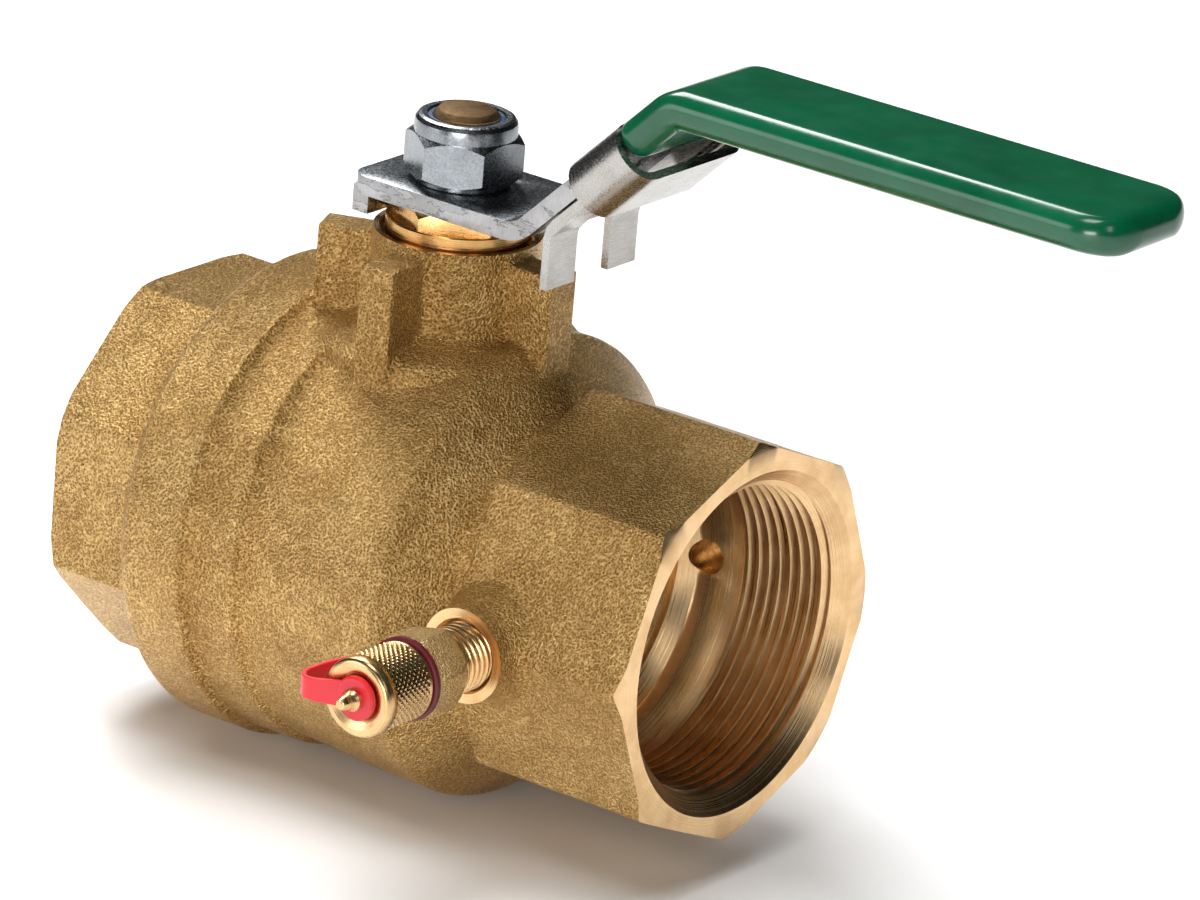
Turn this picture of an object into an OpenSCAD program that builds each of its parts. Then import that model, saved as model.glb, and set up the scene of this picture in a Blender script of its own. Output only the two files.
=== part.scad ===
// Two-inch brass ball valve with a quarter-turn lever, a lock slide and a test point.
// The origin is on the pipe axis where the inlet thread starts, just inside the port face.
// +X runs along the pipe, +Z up the stem.
// All sizes are in millimetres.

/* [Pipe] */
// Length of the valve between its two port faces
valve_len = 131.4; // [125:0.2:140]
// Distance from the inlet port face to the stem axis
stem_x = 61; // [58:0.5:64]
// Radius of the thread crests inside both ports (2 inch parallel pipe thread, 11 TPI)
port_r = 28.33; // [27.5:0.01:29]
// Length of each port thread
thread_len = 22.4; // [18:0.1:23]
// Size across the flats of both octagonal ends
octagon_af = 70; // [68:0.5:72]

/* [Body] */
// Radius of the round barrel
barrel_r = 43.4; // [43:0.1:46]
// Radius of the rim at the joint face
rim_r = 44.9; // [44:0.1:48]
// Height of the machined neck top above the pipe axis
neck_top = 59; // [58:0.5:60]
// Radius of the neck
neck_r = 15.3; // [15:0.1:16]
// Height of the lug tops above the pipe axis
lug_top = 57; // [54:0.5:58]

/* [Ball and seats] */
// Radius of the ball
ball_r = 33.5; // [32.5:0.1:33.6]
// Radius of the flow bore
bore_r = 24; // [20:0.5:24]

/* [Lever] */
// Thickness of the lever plate
plate_t = 3.5; // [3:0.1:4]
// Width of the lever plate
plate_w = 25; // [24:0.5:26]
// Top of the lever's flat part above the pipe axis
plate_top = 68.2; // [68:0.1:70]
// Top of the lever's handle above the pipe axis
handle_top = 99.2; // [98:0.1:105]
// Distance from the stem axis to the handle's tip
handle_reach = 146; // [130:1:160]

/* [Lock slide] */
// Thickness of the slide's strip
strip_t = 1.5; // [1.2:0.1:1.6]
// Travel of the slide along the lever's slope
slide_travel = 18; // [17:0.5:18.5]

/* [Test point] */
// Distance from the stem axis to the test point's axis
test_x = 40; // [39:0.5:41]
// Radius of the knurled cap
cap_r = 7.2; // [7:0.1:7.5]

/* [Hidden] */
$fn = 64;
eps = 0.01;

// Pipe ends and joint, measured from the stem axis along X
outlet_x = valve_len - stem_x;
inlet_x = -stem_x;
joint_x = -37.5;
thread_end = outlet_x - thread_len;
relief_r = 30;
relief_end = 38.5;
relief_cone = 3;
passage_r = 25;
mouth_r = 32;
mouth_depth = 3.6;
octagon_r = octagon_af / 2 / cos(22.5);
octagon_start = 33;
face_r = octagon_af / 2 + 0.3;
chamfer_run = 1;

// Ball chamber, seats and the retainer's nose
chamber_r = ball_r + 0.7;
seat_back = 27;
seat_front = 19.6;
seat_outer_r = 30.5;
seat_inner_r = 24.6;
seat_gap = 0.05;
ball_gap = 0.1;
nose_r = 38;
nose_end = -24;
nose_clear = 0.02;
seal_r = 1.5;
seal_x = joint_x + 4;

// Stem parts
stem_r = 7;
stem_gap = 0.05;
collar_r = 10.5;
collar_z0 = 35.6;
collar_z1 = 39.4;
washer_t = 1.6;
pocket_r = 11;
packing_r = 11;
packing_z0 = 47;
packing_z1 = 54.5;
gland_r = 11.5;
gland_collar_r = 13.2;
gland_collar_top = 61.4;
gland_hex_af = 22.4;
gland_top = 64.5;
recess_r = 13.8;
recess_z = 57.6;
tang_t = 8;
tang_w = 18;
tang_z0 = 28.5;
flat_af = 10.5;
stud_r = 6;
stem_top = 81.6;
nut_af = 19;
nut_h = 12.4;
hex_h = 9.4;
nut_foot = 1.2;
nut_foot_r = 8.7;
nut_corner_r = nut_af / 2 + 1.6;
nut_lead = 0.9;
nut_crown = 1.2;
nut_bottom = plate_top;

// Lugs around the neck: angle of each, anticlockwise from +X
lug_angles = [-2.5, -87, -157, 88];
lug_w = 7.2;
lug_r = 25;
lug_foot = 30;

// Lever profile
slope = 45;
slope_x0 = 21.2;
slope_rise = handle_top - plate_top;
plate_x0 = -16;
sleeve_wall = 1.8;
sleeve_tip = 2.5;
sleeve_start = 44.5;
tip_corner = 9;
hub_corner = 4;
tab_drop = 4;
tab_y = 10.8;
tab_w = 6.6;

// Lock slide, drawn lowered and moved up the slope by its travel.
// Across the slope: y is the row's Y, n is measured up from the plate's top face.
strip_len = 13.3;
arm_top = 0.8;
arm_low = -9.5;
arm_fold = -5.6;
near_y = -10.3;
far_y = 12.3;
fold_y = -3;
top_arm_y = 9;
prong_low = 45.4;
prong_x = 15.7;
prong_in = 4.9;
prong_out = 13;

// Test point, measured outwards along -Y from the pipe axis
boss_r = 8.7;
boss_face = 43;
plug_shank_r = 6.2;
plug_root = 35.5;
plug_hex_y0 = 50.4;
plug_hex_y1 = 58.2;
plug_hex_af = 14;
nose_thread_r = 5;
nose_top = 65.4;
core_r = 1.6;
ring_t = 1.4;
strap_ring_r = 7.6;
cap_y0 = plug_hex_y1 + ring_t + 0.05;
cap_floor = 66.6;
cap_y1 = 72.6;
dish_depth = 1;
pin_r = 1.2;
pin_tip = 77;
disc_r = 4;
band_w = 4;
band_t = 0.9;
band_bend_r = 4.5;
hole_r = 3.3;

// Move a part from the stem axis to the origin at the start of the inlet thread.
module place() {
    translate([stem_x - mouth_depth, 0, 0]) children();
}

// A cylinder along +X from x0 to x1.
module rod_x(r, x0, x1) {
    translate([x0, 0, 0]) rotate([0, 90, 0]) cylinder(r = r, h = x1 - x0);
}

// A cone along +X from radius r0 at x0 to radius r1 at x1.
module cone_x(r0, r1, x0, x1) {
    translate([x0, 0, 0]) rotate([0, 90, 0]) cylinder(r1 = r0, r2 = r1, h = x1 - x0);
}

// A round profile of [x, r] points turned about the X axis.
module turn_x(points) {
    rotate([0, 90, 0]) rotate_extrude() polygon([for (p = points) [p[1], p[0]]]);
}

// An octagonal bar along X with its outer end chamfered to a circle.
module octagon_bar(x0, x1, turn, face_at_high_x) {
    over = octagon_r + 1;
    run = chamfer_run * (over - face_r);
    intersection() {
        translate([x0, 0, 0]) rotate([0, 90, 0]) rotate([0, 0, turn])
            cylinder(r = octagon_r, h = x1 - x0, $fn = 8);
        if (face_at_high_x)
            turn_x([[x0 - 1, 0], [x0 - 1, over], [x1 - run, over], [x1, face_r], [x1, 0]]);
        else
            turn_x([[x0, 0], [x0, face_r], [x0 + run, over], [x1 + 1, over], [x1 + 1, 0]]);
    }
}

// One vertical lug that stands against the neck.
module lug(angle) {
    rotate([0, 0, angle]) translate([0, -lug_w / 2, lug_foot])
        cube([lug_r, lug_w, lug_top - lug_foot]);
}

// Outer shape of the cast body.
module body_outside() {
    turn_x([[joint_x, 0], [joint_x, rim_r - 2], [joint_x + 2.6, rim_r], [-23, rim_r],
            [-22, rim_r - 0.7], [-12.4, rim_r - 0.9], [-11.4, barrel_r], [24, barrel_r],
            [28, barrel_r - 1.1], [31.6, barrel_r - 3.4], [35, barrel_r - 6],
            [38.5, barrel_r - 8], [38.5, 0]]);
    octagon_bar(octagon_start, outlet_x, 0, true);
    cylinder(r = neck_r, h = neck_top);
    translate([0, 0, 38]) cylinder(r1 = neck_r + 4.4, r2 = neck_r, h = 6.5);
    for (angle = lug_angles) lug(angle);
    translate([test_x, boss_face, 0]) rotate([90, 0, 0]) cylinder(r = boss_r, h = 2 * boss_face);
}

// The pressure-tight casting: barrel, outlet octagon, neck, lugs and test bosses.
module body() {
    color("#b08d4a") place() difference() {
        body_outside();
        // Outlet: mouth chamfer, thread, relief, cone and passage
        cone_x(port_r, mouth_r, outlet_x - mouth_depth, outlet_x + eps);
        rod_x(port_r, thread_end - eps, outlet_x);
        rod_x(relief_r, relief_end, thread_end);
        cone_x(passage_r + 2, relief_r, relief_end - relief_cone, relief_end + eps);
        rod_x(passage_r, seat_back - 1, relief_end);
        // Seat pocket, ball chamber and the joint's female thread
        rod_x(seat_outer_r + seat_gap, seat_front - 6, seat_back);
        rod_x(chamber_r, nose_end, seat_front);
        rod_x(nose_r + nose_clear, joint_x - 1, nose_end + eps);
        // Stem bore, collar pocket, packing box and gland recess
        cylinder(r = stem_r + stem_gap, h = neck_top + 1);
        cylinder(r = pocket_r + stem_gap, h = collar_z1 + washer_t);
        translate([0, 0, packing_z0]) cylinder(r = packing_r, h = neck_top);
        translate([0, 0, packing_z1]) cylinder(r = gland_r, h = neck_top);
        translate([0, 0, recess_z]) cylinder(r = recess_r, h = neck_top);
        // Test points: threaded seats from outside and a small hole to the passage
        for (side = [-1, 1]) {
            translate([test_x, side * 45, 0]) rotate([side * 90, 0, 0])
                cylinder(r = plug_shank_r, h = 45 - plug_root);
            translate([test_x + 1.5, side * 45, 0]) rotate([side * 90, 0, 0])
                cylinder(r = hole_r, h = 45 - 20);
        }
    }
}

// Screwed end piece that carries the inlet thread and closes the ball chamber.
module retainer() {
    color("#a98545") place() difference() {
        union() {
            octagon_bar(inlet_x, joint_x - 1.2, 22.5, false);
            rod_x(octagon_af / 2 + 1.6, joint_x - 4, joint_x);
            rod_x(nose_r, joint_x - 1, nose_end);
        }
        cone_x(mouth_r, port_r, inlet_x - eps, inlet_x + mouth_depth);
        rod_x(port_r, inlet_x, inlet_x + thread_len + eps);
        cone_x(port_r, passage_r, inlet_x + thread_len, inlet_x + thread_len + 5);
        rod_x(passage_r, inlet_x + thread_len, nose_end + 1);
        rod_x(seat_outer_r + seat_gap, -seat_back, nose_end + 1);
        // Groove for the joint seal
        difference() {
            rod_x(nose_r + 1, seal_x - seal_r - 0.1, seal_x + seal_r + 0.1);
            rod_x(nose_r - 2 * seal_r - 0.1, seal_x - seal_r - 1, seal_x + seal_r + 1);
        }
    }
}

// Chromed ball with the flow bore, the stem slot and polished flats at the bore ends.
module ball() {
    half = sqrt(ball_r * ball_r - bore_r * bore_r);
    color("#c9d3dc") place() difference() {
        sphere(r = ball_r, $fn = 96);
        rod_x(bore_r, -ball_r, ball_r);
        rod_x(ball_r + 1, half - 0.4, ball_r + 1);
        rod_x(ball_r + 1, -ball_r - 1, -half + 0.4);
        translate([-tang_w / 2 - 1, -tang_t / 2 - 0.05, tang_z0 - 0.3])
            cube([tang_w + 2, tang_t + 0.1, ball_r]);
    }
}

// One seat ring, facing the ball from the +X side.
module seat_ring(back) {
    difference() {
        rod_x(seat_outer_r, seat_front, back);
        rod_x(seat_inner_r, seat_front - 1, back + 1);
        sphere(r = ball_r + ball_gap, $fn = 96);
    }
}

module inlet_seat() {
    color("#f2f1ec") place() mirror([1, 0, 0]) seat_ring(seat_back);
}

module outlet_seat() {
    color("#f2f1ec") place() seat_ring(seat_back);
}

// O-ring between the retainer's nose and the body.
module joint_seal() {
    color("#1b1b1b") place() translate([seal_x, 0, 0]) rotate([0, 90, 0])
        rotate_extrude() translate([nose_r - seal_r, 0]) circle(r = seal_r);
}

// Blow-out proof stem: tang, collar, shank, two flats for the lever and a threaded stud.
module stem() {
    color("#c49a45") place() union() {
        intersection() {
            translate([-tang_w / 2, -tang_t / 2, tang_z0])
                cube([tang_w, tang_t, collar_z0 - tang_z0 + 1]);
            cylinder(r = tang_w / 2, h = collar_z1);
        }
        translate([0, 0, collar_z0]) cylinder(r = collar_r, h = collar_z1 - collar_z0);
        translate([0, 0, collar_z0]) cylinder(r = stem_r, h = plate_top - plate_t - collar_z0);
        intersection() {
            cylinder(r = stem_r, h = plate_top - 0.3);
            translate([-stem_r, -flat_af / 2, collar_z0])
                cube([2 * stem_r, flat_af, plate_top - collar_z0]);
        }
        translate([0, 0, collar_z0]) cylinder(r = stud_r, h = stem_top - 1 - collar_z0);
        translate([0, 0, stem_top - 1]) cylinder(r1 = stud_r, r2 = stud_r - 1, h = 1);
    }
}

// Low-friction washer between the stem's collar and the body.
module thrust_washer() {
    color("#f2f1ec") place() translate([0, 0, collar_z1]) difference() {
        cylinder(r = pocket_r, h = washer_t);
        translate([0, 0, -1]) cylinder(r = stem_r + stem_gap, h = washer_t + 2);
    }
}

// Packing rings squeezed round the stem by the gland nut.
module stem_packing() {
    count = 3;
    ring_h = (packing_z1 - packing_z0) / count;
    color("#f2f1ec") place() for (i = [0 : count - 1])
        translate([0, 0, packing_z0 + i * ring_h]) difference() {
            cylinder(r = packing_r, h = ring_h - 0.05);
            translate([0, 0, -1]) cylinder(r = stem_r + stem_gap, h = ring_h + 2);
        }
}

// Hexagon gland nut that screws into the neck.
module gland_nut() {
    color("#d0a347") place() difference() {
        union() {
            translate([0, 0, packing_z1]) cylinder(r = gland_r, h = recess_z + 0.6 - packing_z1);
            translate([0, 0, recess_z + 0.2])
                cylinder(r = gland_collar_r, h = gland_collar_top - recess_z - 0.2);
            translate([0, 0, gland_collar_top - 0.2]) rotate([0, 0, 33])
                cylinder(r = gland_hex_af / 2 / cos(30), h = gland_top - gland_collar_top + 0.2, $fn = 6);
        }
        cylinder(r = stem_r + stem_gap, h = gland_top + 1);
    }
}

// Side outline of the lever plate, as [x, z] points along a face raised by lift.
function lever_line(lift, reach) = let (shift = lift * tan(slope / 2))
    [[plate_x0, plate_top + lift], [slope_x0 - shift, plate_top + lift],
     [slope_x0 + slope_rise - shift, handle_top + lift], [reach, handle_top + lift]];

// Plate between two offsets from the top face, of width w, with a rounded end.
module bent_plate(low, high, w, reach, corner) {
    top = lever_line(high, reach);
    bottom = lever_line(low, reach);
    intersection() {
        translate([0, w / 2, 0]) rotate([90, 0, 0]) linear_extrude(height = w)
            polygon(concat(top, [for (i = [3 : -1 : 0]) bottom[i]]));
        linear_extrude(height = handle_top + 20) {
            translate([plate_x0 - 1, -w / 2]) square([reach - corner - plate_x0 + 1, w]);
            translate([reach - corner - 1, corner - w / 2]) square([corner + 1, w - 2 * corner]);
            for (side = [-1, 1]) translate([reach - corner, side * (w / 2 - corner)])
                circle(r = corner);
        }
    }
}

// Steel lever: flat hub with a double-D hole, 45 degree slope, handle and tab.
module lever() {
    color("#b9bcbf") place() difference() {
        union() {
            bent_plate(-plate_t, 0, plate_w, handle_reach - sleeve_tip, tip_corner - sleeve_wall);
            translate([plate_x0, -tab_y, plate_top - plate_t - tab_drop])
                cube([plate_t, tab_w, tab_drop + 1]);
        }
        intersection() {
            cylinder(r = stem_r + stem_gap, h = 90);
            translate([-10, -flat_af / 2 - stem_gap, 50]) cube([20, flat_af + 2 * stem_gap, 30]);
        }
        cylinder(r = stud_r + stem_gap, h = 90);
        // Rounded corners of the hub
        for (side = [-1, 1]) translate([plate_x0, side * plate_w / 2, 60]) difference() {
            cube([2 * hub_corner, 2 * hub_corner, 30], center = true);
            translate([hub_corner, -side * hub_corner, -20]) cylinder(r = hub_corner, h = 40);
        }
    }
}

// Dipped vinyl sleeve over the handle.
module grip_sleeve() {
    inner = 0.02;
    color("#0f6a3f") place() difference() {
        intersection() {
            union() {
                bent_plate(-plate_t - sleeve_wall, sleeve_wall, plate_w + 0.6, handle_reach - 1,
                           tip_corner - 1);
                bent_plate(-plate_t - 0.5, 0.5, plate_w + 2 * sleeve_wall, handle_reach, tip_corner);
            }
            // Cut square to the slope at the near end
            translate([sleeve_start, 0, plate_top + sleeve_start - slope_x0]) rotate([0, -slope, 0])
                translate([0, -50, -150]) cube([200, 100, 300]);
        }
        bent_plate(-plate_t - inner, inner, plate_w + 2 * inner, handle_reach - sleeve_tip + inner,
                   tip_corner - sleeve_wall);
    }
}

// Self-locking hexagon nut with its round collar.
module lever_nut() {
    color("#aeb4ba") place() translate([0, 0, nut_bottom]) difference() {
        union() {
            cylinder(r = nut_foot_r, h = nut_foot + eps);
            intersection() {
                translate([0, 0, nut_foot]) rotate([0, 0, -34])
                    cylinder(r = nut_af / 2 / cos(30), h = hex_h - nut_foot, $fn = 6);
                union() {
                    translate([0, 0, nut_foot])
                        cylinder(r1 = nut_af / 2, r2 = nut_corner_r, h = nut_lead);
                    translate([0, 0, nut_foot + nut_lead])
                        cylinder(r = nut_corner_r, h = hex_h - nut_foot - nut_lead - nut_crown);
                    translate([0, 0, hex_h - nut_crown])
                        cylinder(r1 = nut_corner_r, r2 = nut_af / 2 - 0.3, h = nut_crown);
                }
            }
            translate([0, 0, hex_h - 1.5]) cylinder(r = nut_af / 2 - 0.1, h = nut_h - hex_h + 0.9);
            translate([0, 0, nut_h - 0.6]) cylinder(r1 = nut_af / 2 - 0.1, r2 = 8.3, h = 0.6);
        }
        translate([0, 0, -1]) cylinder(r = stud_r + 0.01, h = nut_h + 2);
        translate([0, 0, hex_h]) cylinder(r = 7.9, h = nut_h - hex_h - 0.7);
    }
}

// Nylon ring inside the nut's collar.
module nut_insert() {
    color("#27415f") place() translate([0, 0, nut_bottom + hex_h]) difference() {
        cylinder(r = 7.9, h = nut_h - hex_h - 0.7);
        translate([0, 0, -1]) cylinder(r = stud_r + 0.01, h = 10);
    }
}

// The strip's cross-section in the plane across the slope, as [y, n].
module strip_section() {
    near_r = (arm_top + strip_t - arm_low) / 2;
    far_r = (arm_fold + strip_t - arm_low) / 2;
    near_n = arm_low + near_r;
    far_n = arm_low + far_r;
    translate([near_y, arm_top]) square([top_arm_y - near_y, strip_t]);
    translate([near_y, arm_low]) square([far_y - near_y, strip_t]);
    translate([fold_y, arm_fold]) square([far_y - fold_y, strip_t]);
    translate([near_y, near_n]) difference() {
        circle(r = near_r);
        circle(r = near_r - strip_t);
        translate([0, -20]) square([40, 40]);
    }
    translate([far_y, far_n]) difference() {
        circle(r = far_r);
        circle(r = far_r - strip_t);
        translate([-40, -20]) square([40, 40]);
    }
}

// Height at x of a face that lies n above the lever's slope.
function slope_z(x, n) = plate_top + (x - slope_x0) * tan(slope) + n / cos(slope);

// Folded stainless strip that wraps the slope, with a fork that straddles a lug.
module lock_slide() {
    web_len = 16;
    along = [cos(slope), 0, sin(slope)];
    fork_top = slope_z(prong_x, arm_fold + strip_t) - 0.1;
    color("#a9acae") place() translate(slide_travel * along) difference() {
        union() {
            translate([slope_x0, 0, plate_top]) rotate([0, -slope, 0]) {
                rotate([90, 0, 90]) linear_extrude(height = strip_len) strip_section();
                // Web that carries the fork, cut off vertically below
                translate([-web_len, -prong_out, arm_fold])
                    cube([web_len + eps, 2 * prong_out, strip_t]);
            }
            translate([prong_x, -prong_out, prong_low])
                cube([strip_t, 2 * prong_out, fork_top - prong_low]);
        }
        // The web ends at the fork's inner face
        translate([prong_x - 20, -30, prong_low - 20]) cube([20, 60, 60]);
        // Gap between the two prongs
        translate([prong_x - 1, -prong_in, prong_low - 1])
            cube([strip_t + 2, 2 * prong_in, lug_top + 0.4 - prong_low + 1]);
    }
}

// Moves a part drawn along +Z out along -Y on the test point's axis.
module on_test_axis() {
    place() translate([test_x, 0, 0]) rotate([90, 0, 0]) children();
}

// Self-sealing plug: threaded shank, hexagon and the nose that carries the cap.
module test_plug_body() {
    color("#c39d52") on_test_axis() difference() {
        union() {
            translate([0, 0, plug_root]) cylinder(r = plug_shank_r - 0.01, h = plug_hex_y0 - plug_root + 0.2);
            translate([0, 0, plug_hex_y0]) rotate([0, 0, 12])
                cylinder(r = plug_hex_af / 2 / cos(30), h = plug_hex_y1 - plug_hex_y0, $fn = 6);
            translate([0, 0, plug_hex_y1 - 0.2]) cylinder(r = nose_thread_r, h = nose_top - plug_hex_y1 + 0.2);
        }
        translate([0, 0, plug_root - 1]) cylinder(r = core_r, h = nose_top - plug_root + 2);
        translate([0, 0, 44]) cylinder(r = core_r + 1.4, h = 12);
    }
}

// Rubber core that seals round the probe's needle.
module test_plug_core() {
    color("#202020") on_test_axis() translate([0, 0, 44.1])
        cylinder(r = core_r + 1.38, h = 11.8);
}

// Anchor ring of the cap's strap, held between the hexagon and the cap.
module strap_ring() {
    color("#6b1220") on_test_axis() translate([0, 0, plug_hex_y1]) difference() {
        cylinder(r = strap_ring_r, h = ring_t);
        translate([0, 0, -1]) cylinder(r = nose_thread_r + 0.05, h = ring_t + 2);
    }
}

// Knurled cap with a dished end.
module test_cap() {
    color("#c9a65c") on_test_axis() difference() {
        union() {
            translate([0, 0, cap_y0]) cylinder(r = cap_r, h = cap_y1 - 0.8 - cap_y0);
            translate([0, 0, cap_y1 - 0.8]) cylinder(r1 = cap_r, r2 = cap_r - 0.8, h = 0.8);
        }
        translate([0, 0, cap_y0 - 1]) cylinder(r = nose_thread_r + 0.05, h = cap_floor - cap_y0 + 1);
        translate([0, 0, cap_y0]) cylinder(r = pin_r + 0.05, h = 30);
        translate([0, 0, cap_y1 - dish_depth])
            cylinder(r1 = disc_r + 0.3, r2 = cap_r - 1.6, h = dish_depth + eps);
    }
}

// Soft disc under the cap's floor that seals on the plug's nose.
module cap_gasket() {
    color("#202020") on_test_axis() translate([0, 0, nose_top + 0.03]) difference() {
        cylinder(r = nose_thread_r - 0.1, h = cap_floor - nose_top - 0.06);
        translate([0, 0, -1]) cylinder(r = pin_r + 0.02, h = 4);
    }
}

// Rivet that holds the strap's disc to the cap and lets the cap turn.
module cap_pin() {
    color("#cdae6a") on_test_axis() union() {
        translate([0, 0, nose_top + 0.03]) cylinder(r = pin_r, h = cap_y1 - nose_top + 0.5);
        translate([0, 0, cap_y1 + 0.05]) cylinder(r = pin_r + 0.7, h = 2);
        translate([0, 0, cap_y1 + 2.05])
            cylinder(r1 = pin_r + 0.7, r2 = 0.6, h = pin_tip - cap_y1 - 2.05);
    }
}

// Strap: a disc under the pin and a band that loops out and back beside the cap.
module cap_strap() {
    disc_y = cap_y1 - dish_depth + 0.05;
    loop_x = -disc_r - band_bend_r + 0.8;
    run = disc_y - plug_hex_y1 - 0.1;
    color("#c8202c") on_test_axis() {
        difference() {
            translate([0, 0, disc_y]) cylinder(r = disc_r, h = dish_depth - 0.05);
            translate([0, 0, disc_y - 1]) cylinder(r = pin_r + 0.02, h = 4);
        }
        translate([loop_x, band_w / 2, disc_y]) rotate([90, 0, 0])
            rotate_extrude(angle = 180) translate([band_bend_r - band_t, 0])
                square([band_t, band_w]);
        translate([loop_x - band_bend_r, -band_w / 2, disc_y - run])
            cube([band_t, band_w, run + eps]);
        translate([loop_x - band_bend_r, -band_w / 2, disc_y - run])
            cube([strap_ring_r / 2, band_w, band_t]);
    }
}

// Plain plug in the second test port, on the far side.
module blanking_plug() {
    color("#bd9850") place() translate([test_x, 0, 0]) rotate([-90, 0, 0]) union() {
        translate([0, 0, plug_root]) cylinder(r = plug_shank_r - 0.01, h = boss_face - plug_root + 0.5);
        translate([0, 0, boss_face]) cylinder(r = 8, h = 1.2);
        translate([0, 0, boss_face + 1]) cylinder(r = 14 / 2 / cos(30), h = 5, $fn = 6);
    }
}

body();
retainer();
ball();
inlet_seat();
outlet_seat();
joint_seal();
stem();
thrust_washer();
stem_packing();
gland_nut();
lever();
grip_sleeve();
lever_nut();
nut_insert();
lock_slide();
test_plug_body();
test_plug_core();
strap_ring();
test_cap();
cap_gasket();
cap_pin();
cap_strap();
blanking_plug();
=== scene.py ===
"""Looks of the two-inch brass ball valve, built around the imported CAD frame.

Every shape is modelled in millimetres in the valve's own axes: x along the pipe from the
stem axis, z up the stem. add_piece() moves it into the row frame, in metres.
"""

import math

import bmesh
import bpy
import numpy as np
from mathutils import Matrix, Vector, noise


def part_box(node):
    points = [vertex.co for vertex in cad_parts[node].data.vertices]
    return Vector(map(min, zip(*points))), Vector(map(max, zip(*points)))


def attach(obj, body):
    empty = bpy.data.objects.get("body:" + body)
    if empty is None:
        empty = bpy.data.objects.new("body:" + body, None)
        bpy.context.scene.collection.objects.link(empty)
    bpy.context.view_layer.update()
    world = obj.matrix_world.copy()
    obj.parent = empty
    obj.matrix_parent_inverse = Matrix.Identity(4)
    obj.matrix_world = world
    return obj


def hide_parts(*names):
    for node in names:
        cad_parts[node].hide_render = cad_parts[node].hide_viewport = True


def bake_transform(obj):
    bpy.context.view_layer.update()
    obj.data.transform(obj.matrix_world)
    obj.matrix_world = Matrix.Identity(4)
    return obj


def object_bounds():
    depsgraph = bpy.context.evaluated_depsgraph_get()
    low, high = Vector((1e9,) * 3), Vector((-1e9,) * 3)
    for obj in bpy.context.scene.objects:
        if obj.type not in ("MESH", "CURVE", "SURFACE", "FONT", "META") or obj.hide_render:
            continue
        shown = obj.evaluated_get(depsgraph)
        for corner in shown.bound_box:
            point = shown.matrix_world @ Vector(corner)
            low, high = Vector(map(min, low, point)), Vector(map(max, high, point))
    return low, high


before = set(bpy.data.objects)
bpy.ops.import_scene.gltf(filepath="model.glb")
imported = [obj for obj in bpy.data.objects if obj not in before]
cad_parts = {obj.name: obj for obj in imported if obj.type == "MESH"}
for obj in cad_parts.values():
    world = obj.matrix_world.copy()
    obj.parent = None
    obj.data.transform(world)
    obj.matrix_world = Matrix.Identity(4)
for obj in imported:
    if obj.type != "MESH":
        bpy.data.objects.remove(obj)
CAD_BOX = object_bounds()
MM = 0.001


def extent(node, axis):
    """Lowest and highest place of a CAD node along an axis, in millimetres."""
    low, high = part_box(node)
    return low[axis] / MM, high[axis] / MM


# ---- sizes from the frame
STEM_X = sum(extent("stem", 0)) / 2
OUTLET = extent("body", 0)[1] - STEM_X
INLET = extent("retainer", 0)[0] - STEM_X
JOINT = extent("body", 0)[0] - STEM_X
RIM_R = extent("body", 1)[1] - 0.1
NECK_TOP = extent("body", 2)[1]
PLATE_LOW_X = extent("lever", 0)[0] - STEM_X
HANDLE_TOP = extent("lever", 2)[1]
GRIP_TIP = extent("grip_sleeve", 0)[1] - STEM_X
HANDLE_TOP_OUT = extent("grip_sleeve", 2)[1]
NUT_LOW, NUT_TOP = extent("lever_nut", 2)
STEM_TOP = extent("stem", 2)[1]
TEST_X = sum(extent("strap_ring", 0)) / 2 - STEM_X
PIN_TIP = -extent("cap_pin", 1)[0]
CAP_OUT = -extent("test_cap", 1)[0]
CAP_IN = -extent("test_cap", 1)[1]

# ---- sizes of the casting
FINE = 0.5
BARREL_R = 43.4
OCTAGON_R = 37.9
PORT_R = 28.33
THREAD_OUT_R = 29.8
PITCH = 25.4 / 11
THREAD_LEN = 22.4
MOUTH_R = 32
MOUTH_DEPTH = 3.6
RELIEF_R = 30
PASSAGE_R = 25
SEAT_R = 30.55
NECK_R = 15.3
LUG_TOP = 57
LUG_R = 25
LUG_W = 7.2
LUG_ANGLES = (-2.5, -87, -157, 88)
BOSS_R = 8.7
BOSS_FACE = 43

# ---- sizes of the bores
CLEAR = 60                      # radius or length of a cutter that only has to pass the skin
CHAMBER_R = 34.2
NOSE_R = 38
NOSE_END = -24
RETAINER_SEAT = -27
SEAT_FRONT, SEAT_BACK = 19.6, 27
PASSAGE_END = 35.5
RELIEF_START = 38.6
POCKET_R, POCKET_TOP = 11.05, 41
STEM_BORE_R = 7.05
PACKING_R, PACKING_LOW = 11, 47
GLAND_R, GLAND_LOW = 11.5, 54.5
RECESS_R, RECESS_LOW = 13.8, 57.6
PLUG_HOLE_R = 3.3
PLUG_BORE_R, PLUG_BORE_END = 6.25, 35.5

# ---- sizes of the gland and the nut
GLAND_COLLAR_R, GLAND_COLLAR_TOP = 13.2, 61.4
GLAND_HEX_AF, GLAND_HEX_TURN = 22.4, 33
NUT_AF, NUT_TURN = 19, -34
NUT_FOOT_R, NUT_FOOT_H = 8.7, 1.2
NUT_FLAT_H = 8.2
STUD_R = 6
STEM_R = 7
STEM_FLAT = 5.25                # half the distance across the stem's flats

# ---- sizes of the lever
PLATE_T = 3.5
PLATE_W = 25
PLATE_TOP = NUT_LOW
SLOPE = math.radians(45)
SLOPE_X0 = 21.2
SLEEVE_START = 44.5

# ---- sizes of the lock slide
STRIP_T = 1.5
STRIP_LEN = 13.3
FOLD_N = -5.6                   # underside of the fold, measured up from the plate's top face
FORK_X = 15.7
FORK_LOW = 45.4
FORK_IN, FORK_OUT = 4.9, 13     # where a prong starts and ends, away from the middle

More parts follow.
